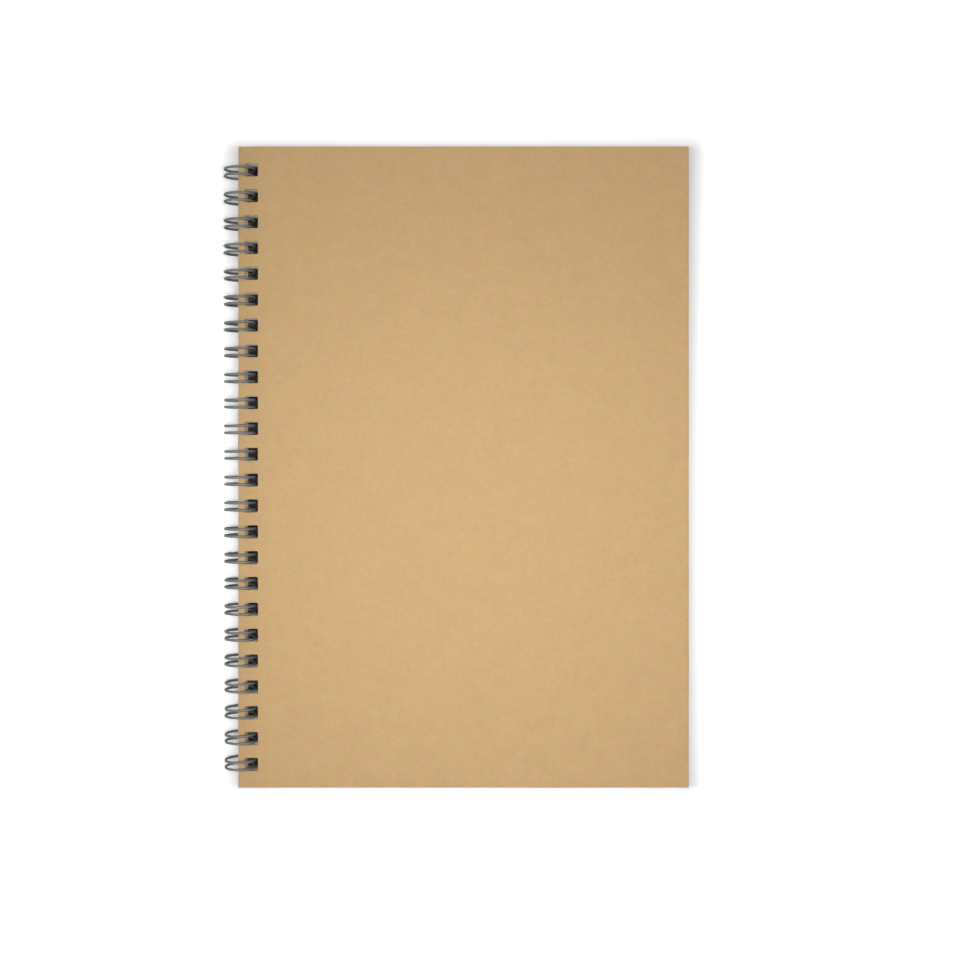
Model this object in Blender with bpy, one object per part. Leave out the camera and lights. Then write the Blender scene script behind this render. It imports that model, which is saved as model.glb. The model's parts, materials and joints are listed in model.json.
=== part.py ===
"""Wire-bound sketchbook: two kraft board covers, loose drawing leaves and one twin-loop wire.

Every sheet lies flat, with its spine edge along Y and its free edge towards +X, and turns about
the binding axis, which runs along Y through the middle of the wire loops.
"""

import math

import bpy
import numpy as np

# Sheets, in metres
PAGE_WIDTH = 0.1475
PAGE_HEIGHT = 0.210
COVER_THICKNESS = 0.0009
LEAF_THICKNESS = 0.0002
LEAF_COUNT = 20
LEAF_INSET = 0.0005
SHEET_GAP = 0.00006

# Square holes punched along the spine edge
HOLE_SIDE = 0.00425
HOLE_MARGIN = 0.00215
HOLE_PITCH = 0.0254 / 3
LEAST_END_MARGIN = 0.0055

# Binding wire
WIRE_DIAMETER = 0.00085
TIP_WIDTH = 0.0017
BEND_RADIUS = 0.001
TIP_TURN = math.radians(338)
TAPER_TURN = math.radians(240)

# Clearances
SPINE_GAP = 0.00015
LAND_CLEARANCE = 0.00015
LOOP_SIDE_CLEARANCE = 0.000425

# Facets of the wire
TURN_POINTS = 12
TIP_BENDS = 4
GAP_SAMPLE = 0.0002

# Sizes that follow from those above
WIRE_RADIUS = WIRE_DIAMETER / 2
LOOP_WIDTH = HOLE_SIDE - WIRE_DIAMETER - 2 * LOOP_SIDE_CLEARANCE
HOLE_COUNT = 1 + int((PAGE_HEIGHT - 2 * LEAST_END_MARGIN) / HOLE_PITCH)
HOLE_NEAR = SPINE_GAP + HOLE_MARGIN
STACK = 2 * COVER_THICKNESS + LEAF_COUNT * LEAF_THICKNESS + (LEAF_COUNT + 1) * SHEET_GAP
LAND_RADIUS = math.hypot(HOLE_NEAR, STACK / 2)
TURN_STEP = 2 * math.pi / TURN_POINTS
LOOP_RADIUS = (LAND_RADIUS + LAND_CLEARANCE + WIRE_RADIUS) / math.cos(TURN_STEP / 2)
AXIS_X = (LOOP_RADIUS + WIRE_RADIUS - SPINE_GAP - PAGE_WIDTH) / 2
AXIS_Z = LOOP_RADIUS + WIRE_RADIUS


def clear_scene():
    for obj in list(bpy.data.objects):
        bpy.data.objects.remove(obj, do_unlink=True)


def make_material(name, colour, roughness, metallic):
    material = bpy.data.materials.new(name)
    material.use_nodes = True
    shader = material.node_tree.nodes["Principled BSDF"]
    shader.inputs["Base Color"].default_value = (*colour, 1)
    shader.inputs["Roughness"].default_value = roughness
    shader.inputs["Metallic"].default_value = metallic
    return material


def add_object(collection, name, data, parent, height):
    """An object on the binding axis of its parent, raised to its height in the stack."""
    obj = bpy.data.objects.new(name, data)
    collection.objects.link(obj)
    obj.parent = parent
    obj.location.z = height
    return obj


def add_pivot(collection, name, parent):
    """An empty on the binding axis, which turns a sheet and all that lies above it."""
    pivot = add_object(collection, name, None, parent, 0)
    pivot.empty_display_size = HOLE_SIDE
    return pivot


def hole_centres():
    """Places along the spine of the hole centres, level with the wire's loops."""
    middle = (HOLE_COUNT - 1) / 2
    return [(number - middle) * HOLE_PITCH for number in range(HOLE_COUNT)]


def add_outline(curve, corners):
    spline = curve.splines.new("POLY")
    spline.points.add(len(corners) - 1)
    for point, (x, y) in zip(spline.points, corners):
        point.co = (x, y, 0, 1)
    spline.use_cyclic_u = True


def rectangle(left, right, low, high):
    return [(left, low), (right, low), (right, high), (left, high)]


def punched_sheet(name, inset, thickness, material):
    """A flat sheet, inset on its three free sides, with its row of holes."""
    curve = bpy.data.curves.new(name, "CURVE")
    curve.dimensions = "2D"
    curve.fill_mode = "BOTH"
    curve.extrude = thickness / 2
    half_height = PAGE_HEIGHT / 2 - inset
    add_outline(curve, rectangle(SPINE_GAP, SPINE_GAP + PAGE_WIDTH - inset, -half_height, half_height))
    for centre in hole_centres():
        low = centre - HOLE_SIDE / 2
        hole = rectangle(HOLE_NEAR, HOLE_NEAR + HOLE_SIDE, low, low + HOLE_SIDE)
        add_outline(curve, hole[::-1])
    curve.materials.append(material)
    return curve


def loop_half_width(turn, tip_start):
    """Half the distance between a loop's two wires, which close up towards its tip."""
    taper = min(max((turn - TAPER_TURN) / (tip_start - TAPER_TURN), 0), 1)
    return (LOOP_WIDTH + taper * (TIP_WIDTH - LOOP_WIDTH)) / 2


def loop_path(centre):
    """(turn, y) along one loop: out to its round tip and back.

    The turn starts under the binding axis, and runs round the spine, over the front cover and
    down through the holes.
    """
    tip_radius = TIP_WIDTH / 2
    tip_start = TIP_TURN - tip_radius / LOOP_RADIUS
    round_turns = [TURN_STEP * step for step in range(1, TURN_POINTS) if TURN_STEP * (step + 0.5) < tip_start]
    turns = [BEND_RADIUS / LOOP_RADIUS, *round_turns, tip_start]
    run = [(0, LOOP_WIDTH / 2 + BEND_RADIUS)]
    run += [(turn, loop_half_width(turn, tip_start)) for turn in turns]
    outward = [(turn, centre - half_width) for turn, half_width in run]
    back = [(turn, centre + half_width) for turn, half_width in reversed(run)]
    bends = [math.pi * step / TIP_BENDS for step in range(1, TIP_BENDS)]
    tip = [
        (tip_start + tip_radius * math.sin(bend) / LOOP_RADIUS, centre - tip_radius * math.cos(bend))
        for bend in bends
    ]
    return outward + tip + back


def wire_points():
    """The whole wire, loop after loop, about the binding axis."""
    path = [place for centre in hole_centres() for place in loop_path(centre)]
    return [(-LOOP_RADIUS * math.sin(turn), y, -LOOP_RADIUS * math.cos(turn)) for turn, y in path]


def print_least_gap(points):
    """Prints the wire's least gap to itself, measured on close points over its first two loops."""
    per_loop = len(points) // HOLE_COUNT
    corners = np.array(points[: 2 * per_loop])
    samples = [corners[:1]]
    for start, end in zip(corners, corners[1:]):
        count = max(1, math.ceil(np.linalg.norm(end - start) / GAP_SAMPLE))
        shares = np.arange(1, count + 1)[:, None] / count
        samples.append(start + shares * (end - start))
    samples = np.concatenate(samples)
    steps = np.linalg.norm(np.diff(samples, axis=0), axis=1)
    along = np.concatenate([[0], np.cumsum(steps)])
    apart = np.linalg.norm(samples[:, None] - samples[None], axis=2)
    same_bend = np.abs(along[:, None] - along[None]) < math.pi * TIP_WIDTH / 2
    apart[same_bend] = np.inf
    print(f"binding_wire: least gap to itself {1000 * (apart.min() - WIRE_DIAMETER):.2f} mm")


def twin_loop_wire(name, material):
    points = wire_points()
    print_least_gap(points)
    curve = bpy.data.curves.new(name, "CURVE")
    curve.dimensions = "3D"
    curve.bevel_depth = WIRE_RADIUS
    curve.bevel_resolution = 1
    curve.use_fill_caps = True
    spline = curve.splines.new("POLY")
    spline.points.add(len(points) - 1)
    for point, place in zip(spline.points, points):
        point.co = (*place, 1)
    spline.use_smooth = True
    curve.materials.append(material)
    return curve


def main():
    clear_scene()
    collection = bpy.data.collections.new("sketchbook")
    bpy.context.scene.collection.children.link(collection)

    kraft = make_material("kraft_board", (0.68, 0.44, 0.21), 0.82, 0)
    paper = make_material("drawing_paper", (0.84, 0.82, 0.77), 0.88, 0)
    enamel = make_material("wire_enamel", (0.2, 0.21, 0.21), 0.45, 0.2)

    axis = add_pivot(collection, "binding_axis", None)
    axis.location = (AXIS_X, 0, AXIS_Z)
    wire = twin_loop_wire("binding_wire", enamel)
    add_object(collection, "binding_wire", wire, axis, 0)

    cover = punched_sheet("cover", 0, COVER_THICKNESS, kraft)
    leaf = punched_sheet("leaf", LEAF_INSET, LEAF_THICKNESS, paper)
    cover_height = (STACK - COVER_THICKNESS) / 2
    add_object(collection, "back_cover", cover, axis, -cover_height)

    leaf_step = LEAF_THICKNESS + SHEET_GAP
    pivot = axis
    for number in range(LEAF_COUNT, 0, -1):
        pivot = add_pivot(collection, f"leaf_{number:02d}_pivot", pivot)
        height = ((LEAF_COUNT + 1) / 2 - number) * leaf_step
        add_object(collection, f"leaf_{number:02d}", leaf, pivot, height)
    pivot = add_pivot(collection, "front_cover_pivot", pivot)
    add_object(collection, "front_cover", cover, pivot, cover_height)


main()
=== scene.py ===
"""Looks of a wire-bound sketchbook: two kraft boards, its drawing leaves and a twin-loop wire."""

import json
import math
import random

import bmesh
import bpy
from bpy.props import FloatProperty, FloatVectorProperty, IntProperty, PointerProperty
from bpy.types import Operator, Panel, PropertyGroup
from mathutils import Matrix, Vector


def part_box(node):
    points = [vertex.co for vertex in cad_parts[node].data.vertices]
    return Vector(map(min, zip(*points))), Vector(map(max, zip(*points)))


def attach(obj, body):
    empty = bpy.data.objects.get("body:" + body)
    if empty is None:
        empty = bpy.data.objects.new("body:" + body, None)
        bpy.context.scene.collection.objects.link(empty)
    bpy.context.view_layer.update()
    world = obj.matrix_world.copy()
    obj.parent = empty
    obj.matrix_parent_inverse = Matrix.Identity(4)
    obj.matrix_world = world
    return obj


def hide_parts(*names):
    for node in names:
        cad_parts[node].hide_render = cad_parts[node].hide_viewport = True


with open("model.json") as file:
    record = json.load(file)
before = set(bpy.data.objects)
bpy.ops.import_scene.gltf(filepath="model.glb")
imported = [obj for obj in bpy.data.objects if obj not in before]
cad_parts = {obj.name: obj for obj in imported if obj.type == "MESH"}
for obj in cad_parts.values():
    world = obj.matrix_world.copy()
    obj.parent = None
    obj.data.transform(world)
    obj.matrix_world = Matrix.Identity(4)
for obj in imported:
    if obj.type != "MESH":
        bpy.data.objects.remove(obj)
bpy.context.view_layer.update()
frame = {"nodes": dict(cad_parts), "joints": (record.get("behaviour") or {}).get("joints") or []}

bl_info = {
    "name": "Wire-bound sketchbook",
    "version": (1, 0, 0),
    "blender": (4, 5, 0),
    "location": "3D View > Sidebar > Sketchbook",
    "description": "Punched kraft boards, drawing leaves and a twin-loop binding wire",
    "category": "Object",
}

COVERS = ("front_cover", "back_cover")
LEAVES = sorted(name for name in frame["nodes"] if name.startswith("leaf_"))
WIRE = "binding_wire"
BINDING_AXIS = Vector(next(joint["pos_m"] for joint in frame["joints"] if joint["child"] == WIRE))
MERGE_DISTANCE = 1e-6
CREASE_ANGLE = math.radians(40)
FLAT_FACE = 0.999

# Axes of a sheet
ACROSS = 0
ALONG = 1

# Levels that most of a noise lies between
NOISE_SPAN = 0.3, 0.7

# Sockets of a Mix node that mixes colours
MIX_FACTOR = 0
MIX_FIRST = 6
MIX_SECOND = 7
MIX_RESULT = 2


def length(name, description, default):
    return FloatProperty(name=name, description=description, default=default, precision=6, unit="LENGTH")


def angle(name, description, degrees):
    return FloatProperty(name=name, description=description, default=math.radians(degrees), subtype="ANGLE")


def power(name, description, default):
    return FloatProperty(name=name, description=description, default=default, min=0, unit="POWER")


def brightness(name, description, default):
    return FloatProperty(name=name, description=description, default=default, min=0)


def share(name, description, default):
    return FloatProperty(name=name, description=description, default=default, min=0, max=1, subtype="FACTOR")


def whole_number(name, description, default, least=1):
    return IntProperty(name=name, description=description, default=default, min=least)


def colour(name, description, default):
    return FloatVectorProperty(
        name=name,
        description=description,
        default=default,
        min=0,
        max=1,
        subtype="COLOR",
    )


class SheetSettings(PropertyGroup):
    """Sizes and colours of the boards and leaves."""

    hole_side: length("Hole side", "Side of a punched square hole", 0.00425)
    hole_margin: length("Hole margin", "Board left between the spine edge and the holes", 0.00215)
    hole_pitch: length("Hole pitch", "Distance from one hole's centre to the next", 0.0254 / 3)
    hole_corner: length("Hole corner", "Radius of a hole's corners", 0.00045)
    hole_count: whole_number("Holes", "Number of punched holes", 24)
    corner_segments: whole_number("Corner segments", "Facets of a hole's corner", 4)
    board_edge: length("Board edge", "Softening of a board's cut edges", 0.00012)
    board_edge_segments: whole_number("Edge segments", "Facets of a board's edge", 2)
    leaf_stray: length("Leaf stray", "How far a leaf may lie off its place", 0.00008)
    leaf_seed: whole_number("Leaf seed", "Picks how the leaves stray", 7, least=0)
    # Painted shade: the boards' colour is darkened in a strip along the spine, standing in for the shade of
    # the binding wire
    painted_spine_shade: length("Shaded strip", "Width of the strip along the spine that is dark from painted_shade", 0.011)
    painted_spine_shade_tone: share("Shaded tone", "Tone of the boards right at the spine edge", 0.905)
    kraft: colour("Kraft", "Face of the boards", (0.678, 0.4425, 0.21))
    kraft_cut: colour("Kraft cut", "Cut edges of the boards", (0.62, 0.45, 0.22))
    paper: colour("Paper", "Face of the leaves", (0.84, 0.82, 0.77))
    paper_cut: colour("Paper cut", "Cut edges of the leaves", (0.87, 0.84, 0.8))


class WireSettings(PropertyGroup):
    """Sizes and colour of the binding wire."""

    thickness: length("Thickness", "Diameter of the coated wire", 0.00086)
    ring_radius: length("Ring radius", "From the middle of a ring to the middle of its wire", 0.00485)
    ring_shift: length("Ring shift", "From the binding axis to the rings, towards the pages", 0.00012)
    row_skew: length("Row skew", "How much nearer the pages the last ring lies than the middle one", 0.00015)
    row_slide: length("Row slide", "How far the rings have slid towards the tail in their holes", 0.0003)
    spine_width: length("Width at the spine", "Between a loop's two wires where it rounds the spine", 0.00226)
    hole_width: length("Width at the hole", "Between a loop's two wires where it enters the hole", 0.00245)
    tip_width: length("Width at the tip", "Between a loop's two wires where they meet", 0.0016)
    root_bend: length("Root bend", "Radius of the bend between a loop and the run to the next", 0.001)
    spread_turn: angle("Spread", "Turn at which a loop starts to widen", 140)
    hole_turn: angle("Hole", "Turn at which a loop enters its hole", 222)
    close_turn: angle("Closing", "Turn at which a loop's two wires start to close up", 258)
    tip_turn: angle("Tip", "Turn at which a loop ends", 338)
    turn_step: angle("Turn step", "Turn between two points of a loop", 5)
    bend_points: whole_number("Bend points", "Points on a small bend", 8, least=2)
    section_steps: whole_number("Section steps", "Roundness of the wire's section", 4, least=0)
    stray: length("Loop stray", "How far a loop may lean to one side", 0.00008)
    seed: whole_number("Wire seed", "Picks how the loops stray", 3, least=0)
    enamel: colour("Enamel", "Coating of the wire", (0.2, 0.21, 0.208))


class StageSettings(PropertyGroup):
    """Camera, lamps and floor."""

    camera_height: length("Camera height", "From the front cover to the camera", 0.4366)
    camera_x: length("Camera X", "Place of the camera across the book", 0.00816)
    camera_y: length("Camera Y", "Place of the camera along the spine", 0.0089)
    camera_shift: FloatProperty(name="Shift", description="Upward shift of the view", default=-0.0417)
    lens: FloatProperty(name="Lens", description="Focal length", default=50, unit="CAMERA")
    bar_y: length("Bar Y", "Place of the bar lamp along the spine", -0.015)
    bar_height: length("Bar height", "From the front cover to the bar lamp", 0.5)
    bar_length: length("Bar length", "Length of the bar lamp, across the book", 0.8)
    bar_width: length("Bar width", "Width of the bar lamp", 0.12)
    bar_power: power("Bar power", "Power of the bar lamp", 1.2)
    spot_x: length("Spot X", "Place of the spot lamp across the book", 0.004)
    spot_y: length("Spot Y", "Place of the spot lamp along the spine", -0.025)
    spot_height: length("Spot height", "From the front cover to the spot lamp", 0.6)
    spot_size: length("Spot size", "Diameter of the spot lamp", 0.2)
    spot_beam: angle("Spot beam", "Angle that the spot lamp's light keeps within", 34)
    spot_power: power("Spot power", "Power of the spot lamp", 0.0565)
    sky: brightness("Sky", "Brightness of the light from all round", 0.275)
    sky_sides: share("Sky sides", "How much brighter the sky is across the book than along it", 0.9)
    sky_head: share("Sky head", "How much brighter the sky is at the head than at the tail", 0.3)
    floor_size: length("Floor size", "Side of the floor", 6.0)
    # Partly painted shade: the floor is seen dimmest at the book's edges and brighter further off, which
    # deepens and shapes the real shadow there
    floor_edge: brightness("Floor edge", "Brightness of the floor at the book's edges", 0.95)
    floor_near: brightness("Floor near", "Brightness of the floor round the book", 1.8)
    floor_far: brightness("Floor far", "Brightness of the floor where little light falls on it", 5.5)
    edge_reach: FloatVectorProperty(
        name="Edge reach",
        description="How far the floor's darkest part reaches past the book, across and along it",
        default=(0.0006, -0.0005, 0),
        precision=6,
        subtype="XYZ_LENGTH",
        unit="LENGTH",
    )
    near_start: length("Near start", "From the book's edges to the floor round it", 0.009)
    near_end: length("Near end", "From the book's edges to where the floor starts to lose its light", 0.04)
    far_start: length("Far start", "From the book's edges to the far floor", 0.5)
    floor_mirrored: brightness("Floor mirrored", "Brightness of the floor in metal", 1.1)
    floor_bounce: share("Floor bounce", "Share of the light that the floor throws back", 0.8)
    # Painted shade: the floor's colour is darkened under the holes, for the camera and for bounced light
    # alike
    shade_tone: share("Shade", "Tone of the floor right under the holes", 0.06)
    shade_inset: length("Shade inset", "From the spine edge to the dark floor under the holes", 0.0005)
    shade_fade: length("Shade fade", "From the dark floor to the white floor round it", 0.0015)


def add_node(tree, kind, inputs=None, **settings):
    """A node with its settings and its inputs, each a plain value or another node's output."""
    node = tree.nodes.new(kind)
    for name, value in settings.items():
        setattr(node, name, value)
    for socket, value in (inputs or {}).items():
        if isinstance(value, bpy.types.NodeSocket):
            tree.links.new(value, node.inputs[socket])
        else:
            node.inputs[socket].default_value = value
    return node


def number_step(tree, operation, *terms):
    step = add_node(tree, "ShaderNodeMath", dict(enumerate(terms)), operation=operation)
    return step.outputs["Value"]


def vector_step(tree, operation, *terms):
    step = add_node(tree, "ShaderNodeVectorMath", dict(enumerate(terms)), operation=operation)
    return step.outputs["Vector"]


def vector_size(tree, operation, *terms):
    step = add_node(tree, "ShaderNodeVectorMath", dict(enumerate(terms)), operation=operation)
    return step.outputs["Value"]


def spread(tree, value, low, high, to_low, to_high):
    """The span from low to high carried over to another span, and cut off at its ends."""
    inputs = {"Value": value, "From Min": low, "From Max": high, "To Min": to_low, "To Max": to_high}
    return add_node(tree, "ShaderNodeMapRange", inputs).outputs["Result"]


def mix_tints(tree, factor, first, second):
    inputs = {MIX_FACTOR: factor, MIX_FIRST: first, MIX_SECOND: second}
    return add_node(tree, "ShaderNodeMix", inputs, data_type="RGBA").outputs[MIX_RESULT]


def tint(base, changes):
    """The base colour with its red, green and blue each times their own change."""
    return [min(level * change, 1) for level, change in zip(base, changes)] + [1]


def grey(level):
    return level, level, level, 1


def shade(tree, tone, level):
    """A colour made lighter or darker."""
    return add_node(tree, "ShaderNodeHueSaturation", {"Color": tone, "Value": level}).outputs["Color"]


def grain(tree, place, scale, detail, stretch=(1, 1, 1), turn=0, crispness=0.5):
    """Soft grain of so many features a metre, drawn out by stretch and turned in the sheet's plane."""
    inputs = {"Vector": place, "Rotation": (0, 0, turn), "Scale": stretch}
    mapping = add_node(tree, "ShaderNodeMapping", inputs, vector_type="TEXTURE")
    inputs = {"Vector": mapping.outputs["Vector"], "Scale": scale, "Detail": detail, "Roughness": crispness}
    return add_node(tree, "ShaderNodeTexNoise", inputs).outputs["Fac"]


def patches(tree, place, scale, detail, crispness=0.5):
    """Patches from 0 to 1."""
    return spread(tree, grain(tree, place, scale, detail, crispness=crispness), *NOISE_SPAN, 0, 1)


def vary(tree, tone, noise, amount):
    """A colour made lighter where a noise is high, or darker there if the amount is below 0."""
    return shade(tree, tone, spread(tree, noise, *NOISE_SPAN, 1 - amount, 1 + amount))


def new_finish(name, roughness, metallic=0):
    """A material, its node tree, its shader and the coordinates of the piece that wears it."""
    material = bpy.data.materials.new(name)
    material.use_nodes = True
    tree = material.node_tree
    shader = tree.nodes["Principled BSDF"]
    shader.inputs["Roughness"].default_value = roughness
    shader.inputs["Metallic"].default_value = metallic
    place = add_node(tree, "ShaderNodeTexCoord").outputs["Object"]
    return material, tree, shader, place


def raise_surface(tree, shader, height, strength, distance):
    inputs = {"Height": height, "Strength": strength, "Distance": distance}
    tree.links.new(add_node(tree, "ShaderNodeBump", inputs).outputs["Normal"], shader.inputs["Normal"])


def kraft_face(sheets, spine):
    """Unbleached board: blushes, yellow mottle, crossed fibres, clouds and flecks, with painted shade of the
    wire along the spine.
    """
    base = sheets.kraft
    material, tree, shader, place = new_finish("kraft_face", roughness=0.82)
    mottle = patches(tree, place, scale=420, detail=4, crispness=0.8)
    blush = patches(tree, place, scale=230, detail=4, crispness=0.8)
    green_yellow = tint(base, (0.998, 1.06, 0.87))
    green_pale = tint(base, (0.998, 1.07, 1.13))
    rosy_yellow = tint(base, (1.002, 0.93, 0.87))
    rosy_pale = tint(base, (1.002, 0.94, 1.13))
    green = mix_tints(tree, mottle, green_yellow, green_pale)
    rosy = mix_tints(tree, mottle, rosy_yellow, rosy_pale)
    tone = mix_tints(tree, blush, green, rosy)

    along = grain(tree, place, scale=1500, detail=3, stretch=(0.7, 4, 1), turn=math.radians(6))
    across = grain(tree, place, scale=1500, detail=3, stretch=(3, 0.7, 1), turn=math.radians(-11))
    along_weight = 0.35
    fibres = number_step(tree, "MULTIPLY_ADD", along, along_weight, across)
    tone = shade(tree, tone, spread(tree, fibres, low=0.375, high=0.975, to_low=0.968, to_high=1.032))
    fine_clouds = grain(tree, place, scale=700, detail=2, crispness=0.65)
    tone = vary(tree, tone, fine_clouds, amount=-0.024)
    wide_clouds = grain(tree, place, scale=110, detail=2)
    tone = vary(tree, tone, wide_clouds, amount=0.016)

    specks = grain(tree, place, scale=900, detail=1, stretch=(1, 2.2, 1), turn=math.radians(25))
    flecks = spread(tree, specks, low=0.7, high=0.78, to_low=0, to_high=0.13)
    tone = mix_tints(tree, flecks, tone, tint(base, (0.62, 0.55, 0.48)))

    # Painted shade of the binding wire: the board's colour darkens towards the spine edge
    across_board = vector_size(tree, "DOT_PRODUCT", place, (1, 0, 0))
    painted_spine_shade = spread(tree, across_board, spine, spine + sheets.painted_spine_shade, sheets.painted_spine_shade_tone, 1)
    tree.links.new(shade(tree, tone, painted_spine_shade), shader.inputs["Base Color"])
    raise_surface(tree, shader, fibres, strength=0.25, distance=0.00003)
    return material


def kraft_cut(base):
    """Cut edge of the board, with its plies."""
    material, tree, shader, place = new_finish("kraft_cut", roughness=0.9)
    plies = grain(tree, place, scale=8000, detail=2, stretch=(60, 60, 1))
    fuzz = grain(tree, place, scale=2500, detail=3)
    darker = tint(base, (0.78, 0.75, 0.7))
    lighter = tint(base, (1.1, 1.1, 1.12))
    layers = spread(tree, plies, low=0.35, high=0.65, to_low=0, to_high=1)
    tone = vary(tree, mix_tints(tree, layers, darker, lighter), fuzz, amount=0.06)
    tree.links.new(tone, shader.inputs["Base Color"])
    raise_surface(tree, shader, number_step(tree, "ADD", plies, fuzz), strength=0.4, distance=0.00004)
    return material


def paper_face(base):
    """Drawing paper with a fine tooth and a faint look-through."""
    material, tree, shader, place = new_finish("paper_face", roughness=0.88)
    tooth = grain(tree, place, scale=2600, detail=3)
    look_through = patches(tree, place, scale=240, detail=4)
    thin = tint(base, (0.985, 0.985, 0.975))
    thick = tint(base, (1.01, 1.01, 1.015))
    tone = vary(tree, mix_tints(tree, look_through, thin, thick), tooth, amount=0.015)
    tree.links.new(tone, shader.inputs["Base Color"])
    raise_surface(tree, shader, tooth, strength=0.3, distance=0.00004)
    return material


def paper_cut(base):
    """Cut edge of a leaf, a little grey and rough."""
    material, tree, shader, place = new_finish("paper_cut", roughness=0.95)
    fuzz = grain(tree, place, scale=1800, detail=3, stretch=(2, 2, 0.3))
    darker = tint(base, (0.86, 0.85, 0.83))
    lighter = tint(base, (1.05, 1.05, 1.06))
    tone = mix_tints(tree, spread(tree, fuzz, *NOISE_SPAN, 0, 1), darker, lighter)
    tree.links.new(tone, shader.inputs["Base Color"])
    raise_surface(tree, shader, fuzz, strength=0.3, distance=0.00003)
    return material


def wire_enamel(base):
    """Satin dark grey coating, a little uneven and rubbed."""
    material, tree, shader, place = new_finish("wire_enamel", roughness=0.45, metallic=0.2)
    rubbed = patches(tree, place, scale=380, detail=3)
    uneven = grain(tree, place, scale=1600, detail=2)
    darker = tint(base, (0.9, 0.92, 0.93))
    lighter = tint(base, (1.1, 1.09, 1.07))
    tree.links.new(mix_tints(tree, rubbed, darker, lighter), shader.inputs["Base Color"])
    raise_surface(tree, shader, uneven, strength=0.12, distance=0.00002)
    return material


def seen_rays(tree):
    """Whether a surface is seen by the camera, and whether it is seen in metal or glass."""
    path = add_node(tree, "ShaderNodeLightPath").outputs
    in_metal = number_step(tree, "MAXIMUM", path["Is Glossy Ray"], path["Is Transmission Ray"])
    return path["Is Camera Ray"], in_metal


def distance_outside(tree, place, low, high):
    """How far a place lies outside the box from low to high."""
    off_middle = vector_step(tree, "ABSOLUTE", vector_step(tree, "SUBTRACT", place, (low + high) / 2))
    off_edge = vector_step(tree, "SUBTRACT", off_middle, (high - low) / 2)
    return vector_size(tree, "LENGTH", vector_step(tree, "MAXIMUM", off_edge, (0, 0, 0)))


def white_floor(stage, book, holes):
    """White floor that keeps the book's shadow, deepened by painted shade at the book's edges, shows brighter
    far off and has painted dark shade under the holes.
    """
    material, tree, shader, place = new_finish("white_floor", 1)
    shader.inputs["Specular IOR Level"].default_value = 0
    past_book = distance_outside(tree, place, *book)
    # Partly painted shade: the floor's brightness is lowest at the book's edges, deepening the real shadow
    near = spread(tree, past_book, 0, stage.near_start, stage.floor_edge, stage.floor_near)
    far = spread(tree, past_book, stage.near_end, stage.far_start, 0, stage.floor_far - stage.floor_near)
    by_camera, in_metal = seen_rays(tree)
    tone = mix_tints(tree, in_metal, grey(stage.floor_bounce), grey(stage.floor_mirrored))
    tone = mix_tints(tree, by_camera, tone, number_step(tree, "ADD", near, far))
    # Painted shade: the floor's colour is darkened under the row of holes
    past_holes = distance_outside(tree, place, *holes)
    tone = shade(tree, tone, spread(tree, past_holes, 0, stage.shade_fade, stage.shade_tone, 1))
    tree.links.new(tone, shader.inputs["Base Color"])
    return material


def new_piece(name, mesh, materials):
    """A piece at the origin, with its place in its mesh."""
    for material in materials:
        mesh.materials.append(material)
    piece = bpy.data.objects.new(name, mesh)
    bpy.context.scene.collection.objects.link(piece)
    return piece


def fit_to_node(piece, node):
    """The piece stands for a node, on that node's body."""
    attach(piece, node)
    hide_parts(node)


def outline_only(bm):
    """Leaves the edges of the flat shapes and takes their faces out."""
    bmesh.ops.delete(bm, geom=bm.faces[:], context="FACES_ONLY")


def punched_cell(bm, sheets, width):
    """One round-cornered hole in its share of the spine strip, round the origin."""
    segments = sheets.corner_segments
    hole = bmesh.ops.create_grid(bm, x_segments=1, y_segments=1, size=sheets.hole_side / 2)
    bmesh.ops.bevel(
        bm,
        geom=hole["verts"],
        offset=sheets.hole_corner,
        segments=segments,
        profile=0.5,
        affect="VERTICES",
        material=-1,
    )
    outline_only(bm)
    rim = set(bm.edges)
    size = Matrix.Diagonal((width, sheets.hole_pitch, 1, 1))
    bmesh.ops.create_grid(bm, x_segments=1, y_segments=1, size=0.5, matrix=size)
    outline_only(bm)
    bmesh.ops.subdivide_edges(bm, edges=[edge for edge in bm.edges if edge not in rim], cuts=segments)
    bmesh.ops.bridge_loops(bm, edges=bm.edges[:])


def pull_side(bm, axis, side, target):
    """Extends the side of the flat sheet that faces an axis's low or high end out to its target."""
    reach = max(side * vert.co[axis] for vert in bm.verts)
    edges = [
        edge
        for edge in bm.edges
        if edge.is_boundary and all(side * vert.co[axis] > reach - MERGE_DISTANCE for vert in edge.verts)
    ]
    pulled = bmesh.ops.extrude_edge_only(bm, edges=edges)
    for item in pulled["geom"]:
        if isinstance(item, bmesh.types.BMVert):
            item.co[axis] = target


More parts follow.
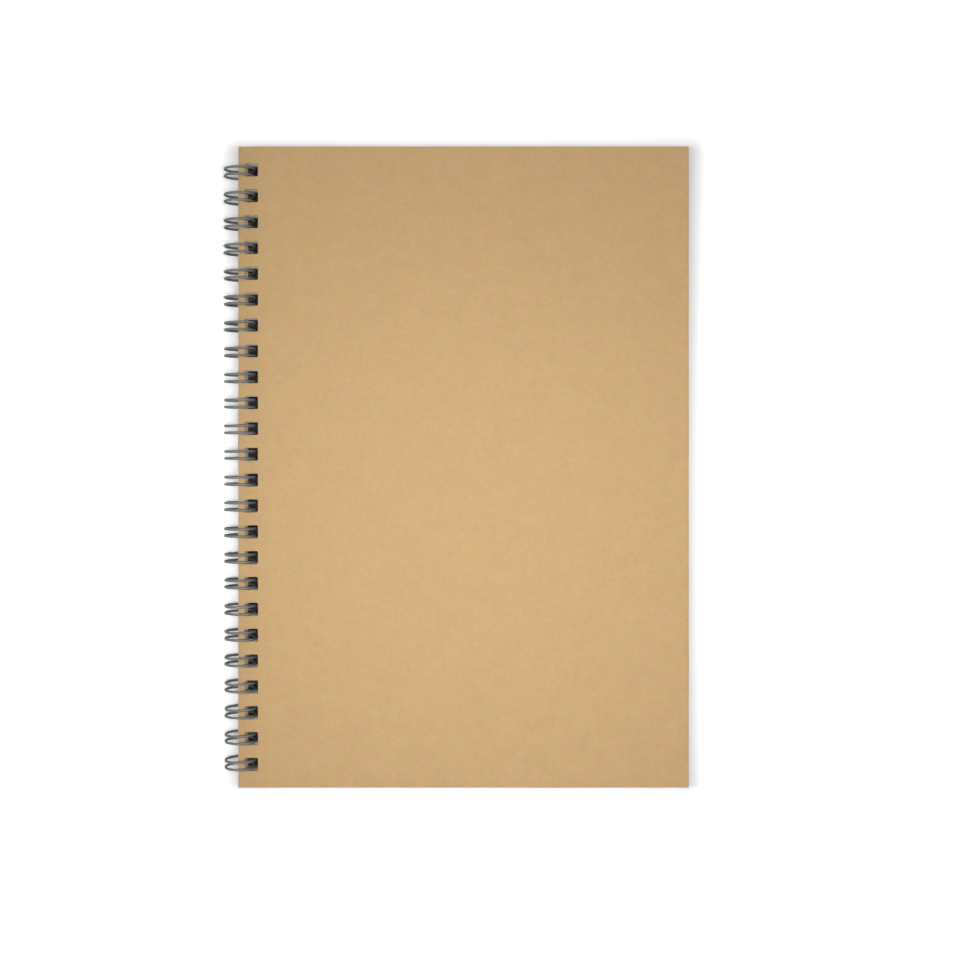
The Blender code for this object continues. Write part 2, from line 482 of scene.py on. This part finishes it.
def punched_sheet(name, node, sheets, edge_round):
    """A flat sheet in its node's place, with a row of holes along its spine edge."""
    low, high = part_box(node)
    middle = (sheets.hole_count - 1) / 2
    width = sheets.hole_side + 2 * sheets.hole_margin
    bm = bmesh.new()
    punched_cell(bm, sheets, width)
    cell = bm.verts[:] + bm.edges[:] + bm.faces[:]
    bmesh.ops.translate(bm, verts=bm.verts[:], vec=(low.x + width / 2, -middle * sheets.hole_pitch, low.z))
    for number in range(1, sheets.hole_count):
        copy = bmesh.ops.duplicate(bm, geom=cell)["geom"]
        verts = [item for item in copy if isinstance(item, bmesh.types.BMVert)]
        bmesh.ops.translate(bm, verts=verts, vec=(0, number * sheets.hole_pitch, 0))
    bmesh.ops.remove_doubles(bm, verts=bm.verts[:], dist=MERGE_DISTANCE)
    pull_side(bm, ALONG, -1, low.y)
    pull_side(bm, ALONG, 1, high.y)
    pull_side(bm, ACROSS, 1, high.x)
    raised = bmesh.ops.extrude_face_region(bm, geom=bm.faces[:])["geom"]
    verts = [item for item in raised if isinstance(item, bmesh.types.BMVert)]
    bmesh.ops.translate(bm, verts=verts, vec=(0, 0, high.z - low.z))
    bmesh.ops.recalc_face_normals(bm, faces=bm.faces[:])
    if edge_round:
        bmesh.ops.bevel(
            bm,
            geom=[edge for edge in bm.edges if edge.calc_face_angle() > CREASE_ANGLE],
            offset=edge_round,
            segments=sheets.board_edge_segments,
            profile=0.5,
            affect="EDGES",
            material=-1,
        )
    for face in bm.faces:
        face.material_index = int(abs(face.normal.z) < FLAT_FACE)
    mesh = bpy.data.meshes.new(name)
    bm.to_mesh(mesh)
    bm.free()
    return mesh


def ease(value, low, high):
    """0 below low, 1 above high, and a smooth way between."""
    way = min(max((value - low) / (high - low), 0), 1)
    return way * way * (3 - 2 * way)


def loop_half_width(wire, turn, tip_start):
    """Half the distance between a loop's two wires: wider at the hole, closing towards the tip."""
    widened = wire.hole_width - wire.spine_width
    closed = wire.hole_width - wire.tip_width
    width = wire.spine_width + widened * ease(turn, wire.spread_turn, wire.hole_turn)
    return (width - closed * ease(turn, wire.close_turn, tip_start)) / 2


def loop_path(wire, lean):
    """(turn, y) along one loop about y = 0, from its root to its round tip and back."""
    radius = wire.ring_radius
    tip_radius = wire.tip_width / 2
    tip_start = wire.tip_turn - tip_radius / radius
    leg_start = wire.root_bend / radius
    half_width = loop_half_width(wire, leg_start, tip_start)
    bends = [math.pi / 2 * step / wire.bend_points for step in range(wire.bend_points)]
    run = [
        (leg_start * (1 - math.cos(bend)), half_width + wire.root_bend * (1 - math.sin(bend)))
        for bend in bends
    ]
    steps = round((tip_start - leg_start) / wire.turn_step)
    for step in range(steps + 1):
        turn = leg_start + (tip_start - leg_start) * step / steps
        run.append((turn, loop_half_width(wire, turn, tip_start)))
    tip = [
        (tip_start + tip_radius / radius * math.sin(bend), -tip_radius * math.cos(bend))
        for bend in (math.pi * step / (2 * wire.bend_points) for step in range(1, 2 * wire.bend_points))
    ]
    whole = [(turn, -half) for turn, half in run] + tip + [(turn, half) for turn, half in reversed(run)]
    return [(turn, y + lean * math.sin(turn / 2) ** 2) for turn, y in whole]


def wire_points(wire, sheets):
    """The whole wire, loop after loop."""
    stray = random.Random(wire.seed)
    middle = (sheets.hole_count - 1) / 2
    points = []
    for number in range(sheets.hole_count):
        shift = wire.ring_shift + wire.row_skew * (middle - number) / middle
        ring = BINDING_AXIS + Vector((shift, (number - middle) * sheets.hole_pitch - wire.row_slide, 0))
        for turn, y in loop_path(wire, stray.uniform(-wire.stray, wire.stray)):
            out = wire.ring_radius * Vector((math.sin(turn), 0, math.cos(turn)))
            points.append(ring + Vector((0, y, 0)) - out)
    return points


class SKETCHBOOK_OT_covers(Operator):
    """Add the two punched kraft boards"""

    bl_idname = "sketchbook.covers"
    bl_label = "Add covers"

    def execute(self, context):
        sheets = context.scene.sketchbook_sheets
        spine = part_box("front_cover")[0].x
        finishes = kraft_face(sheets, spine), kraft_cut(sheets.kraft_cut)
        for node in COVERS:
            mesh = punched_sheet(f"{node}_board", node, sheets, sheets.board_edge)
            fit_to_node(new_piece(f"{node}_board", mesh, finishes), node)
        return {"FINISHED"}


class SKETCHBOOK_OT_leaves(Operator):
    """Add the drawing leaves, each a little off its place"""

    bl_idname = "sketchbook.leaves"
    bl_label = "Add leaves"

    def execute(self, context):
        sheets = context.scene.sketchbook_sheets
        finishes = paper_face(sheets.paper), paper_cut(sheets.paper_cut)
        stray = random.Random(sheets.leaf_seed)
        for node in LEAVES:
            mesh = punched_sheet(f"{node}_sheet", node, sheets, 0)
            off = [stray.uniform(-sheets.leaf_stray, sheets.leaf_stray) for axis in "xy"]
            mesh.transform(Matrix.Translation((*off, 0)))
            fit_to_node(new_piece(f"{node}_sheet", mesh, finishes), node)
        return {"FINISHED"}


class SKETCHBOOK_OT_binding_wire(Operator):
    """Add the twin-loop wire, bent from one length"""

    bl_idname = "sketchbook.binding_wire"
    bl_label = "Add binding wire"

    def execute(self, context):
        wire = context.scene.sketchbook_wire
        points = wire_points(wire, context.scene.sketchbook_sheets)
        curve = bpy.data.curves.new("twin_loops", "CURVE")
        curve.dimensions = "3D"
        curve.bevel_depth = wire.thickness / 2
        curve.bevel_resolution = wire.section_steps
        curve.use_fill_caps = True
        spline = curve.splines.new("POLY")
        spline.points.add(len(points) - 1)
        for point, place in zip(spline.points, points):
            point.co = (*place, 1)
        spline.use_smooth = True
        fit_to_node(new_piece("twin_loops", curve, [wire_enamel(wire.enamel)]), WIRE)
        return {"FINISHED"}


class SKETCHBOOK_OT_stage(Operator):
    """Add the floor, the light from all round, the two lamps and the camera"""

    bl_idname = "sketchbook.stage"
    bl_label = "Add stage"

    def execute(self, context):
        scene = context.scene
        stage = scene.sketchbook_stage
        cover_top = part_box("front_cover")[1].z
        self.add_floor(stage, scene.sketchbook_wire, scene.sketchbook_sheets)
        self.add_sky(scene, stage)
        bar = self.add_lamp("bar_lamp", "RECTANGLE", stage.bar_power)
        bar.size = stage.bar_length
        bar.size_y = stage.bar_width
        self.hang(scene, bar, (0, stage.bar_y, cover_top + stage.bar_height))
        spot = self.add_lamp("spot_lamp", "DISK", stage.spot_power)
        spot.size = stage.spot_size
        spot.spread = stage.spot_beam
        self.hang(scene, spot, (stage.spot_x, stage.spot_y, cover_top + stage.spot_height))
        camera = bpy.data.cameras.new("camera")
        camera.lens = stage.lens
        camera.shift_y = stage.camera_shift
        place = stage.camera_x, stage.camera_y, cover_top + stage.camera_height
        scene.camera = self.hang(scene, camera, place)
        scene.view_settings.view_transform = "Standard"
        return {"FINISHED"}

    @staticmethod
    def add_lamp(name, shape, power):
        lamp = bpy.data.lights.new(name, "AREA")
        lamp.shape = shape
        lamp.energy = power
        return lamp

    @staticmethod
    def hang(scene, data, place):
        """A lamp or camera that looks straight down, and that the camera doesn't see."""
        obj = bpy.data.objects.new(data.name, data)
        scene.collection.objects.link(obj)
        obj.location = place
        obj.visible_camera = False
        return obj

    @staticmethod
    def add_floor(stage, wire, sheets):
        """A floor that touches the rings and the fore edge of the back cover, as the book lies."""
        rest = BINDING_AXIS.z - wire.ring_radius - wire.thickness / 2
        low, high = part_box("back_cover")
        tilt = math.atan2(low.z - rest, high.x - BINDING_AXIS.x)
        bm = bmesh.new()
        bmesh.ops.create_grid(bm, x_segments=1, y_segments=1, size=stage.floor_size / 2)
        turn = Matrix.Rotation(-tilt, 3, "Y")
        bmesh.ops.rotate(bm, verts=bm.verts[:], cent=(BINDING_AXIS.x, 0, 0), matrix=turn)
        bmesh.ops.translate(bm, verts=bm.verts[:], vec=(0, 0, rest))
        mesh = bpy.data.meshes.new("floor")
        bm.to_mesh(mesh)
        bm.free()
        near = low.x + stage.shade_inset
        far = near + sheets.hole_margin + sheets.hole_side
        row = ((sheets.hole_count - 1) * sheets.hole_pitch + sheets.hole_side) / 2
        # Box of the floor's painted shade under the holes
        holes = Vector((near, -row, -stage.floor_size)), Vector((far, row, stage.floor_size))
        # How far the floor's painted shade at the edges reaches past the back cover
        reach = Vector(stage.edge_reach)
        new_piece("floor", mesh, [white_floor(stage, (low - reach, high + reach), holes)])

    @staticmethod
    def add_sky(scene, stage):
        """Soft light from all round, most of it from the two sides, which shows as plain white."""
        scene.world = bpy.data.worlds.new("studio")
        scene.world.use_nodes = True
        tree = scene.world.node_tree
        background = tree.nodes["Background"]
        way = add_node(tree, "ShaderNodeTexCoord").outputs["Generated"]
        # The product below is 1 straight across the book and -1 straight along it
        x_plus_y = vector_size(tree, "DOT_PRODUCT", way, (1, 1, 0))
        x_less_y = vector_size(tree, "DOT_PRODUCT", way, (1, -1, 0))
        sides = number_step(tree, "MULTIPLY", x_plus_y, x_less_y)
        head = vector_size(tree, "DOT_PRODUCT", way, (0, stage.sky_head, 0))
        level = number_step(tree, "MULTIPLY_ADD", sides, stage.sky_sides, head)
        lit = spread(tree, level, -1, 1, 0, 2 * stage.sky)
        seen = number_step(tree, "MAXIMUM", *seen_rays(tree))
        tree.links.new(mix_tints(tree, seen, lit, grey(1)), background.inputs["Color"])


class SKETCHBOOK_PT_build(Panel):
    """Lists the sketchbook's settings, with buttons that add its pieces"""

    bl_label = "Sketchbook"
    bl_idname = "SKETCHBOOK_PT_build"
    bl_space_type = "VIEW_3D"
    bl_region_type = "UI"
    bl_category = "Sketchbook"

    def draw(self, context):
        scene = context.scene
        for operators, settings in (
            (("sketchbook.covers", "sketchbook.leaves"), scene.sketchbook_sheets),
            (("sketchbook.binding_wire",), scene.sketchbook_wire),
            (("sketchbook.stage",), scene.sketchbook_stage),
        ):
            box = self.layout.box()
            for name in settings.__annotations__:
                box.prop(settings, name)
            for operator in operators:
                box.operator(operator)


CLASSES = (
    SheetSettings,
    WireSettings,
    StageSettings,
    SKETCHBOOK_OT_covers,
    SKETCHBOOK_OT_leaves,
    SKETCHBOOK_OT_binding_wire,
    SKETCHBOOK_OT_stage,
    SKETCHBOOK_PT_build,
)


def register():
    for cls in CLASSES:
        bpy.utils.register_class(cls)
    bpy.types.Scene.sketchbook_sheets = PointerProperty(type=SheetSettings)
    bpy.types.Scene.sketchbook_wire = PointerProperty(type=WireSettings)
    bpy.types.Scene.sketchbook_stage = PointerProperty(type=StageSettings)


def unregister():
    del bpy.types.Scene.sketchbook_stage
    del bpy.types.Scene.sketchbook_wire
    del bpy.types.Scene.sketchbook_sheets
    for cls in reversed(CLASSES):
        bpy.utils.unregister_class(cls)


def main():
    register()
    bpy.ops.sketchbook.covers()
    bpy.ops.sketchbook.leaves()
    bpy.ops.sketchbook.binding_wire()
    bpy.ops.sketchbook.stage()


if __name__ == "__main__":
    main()
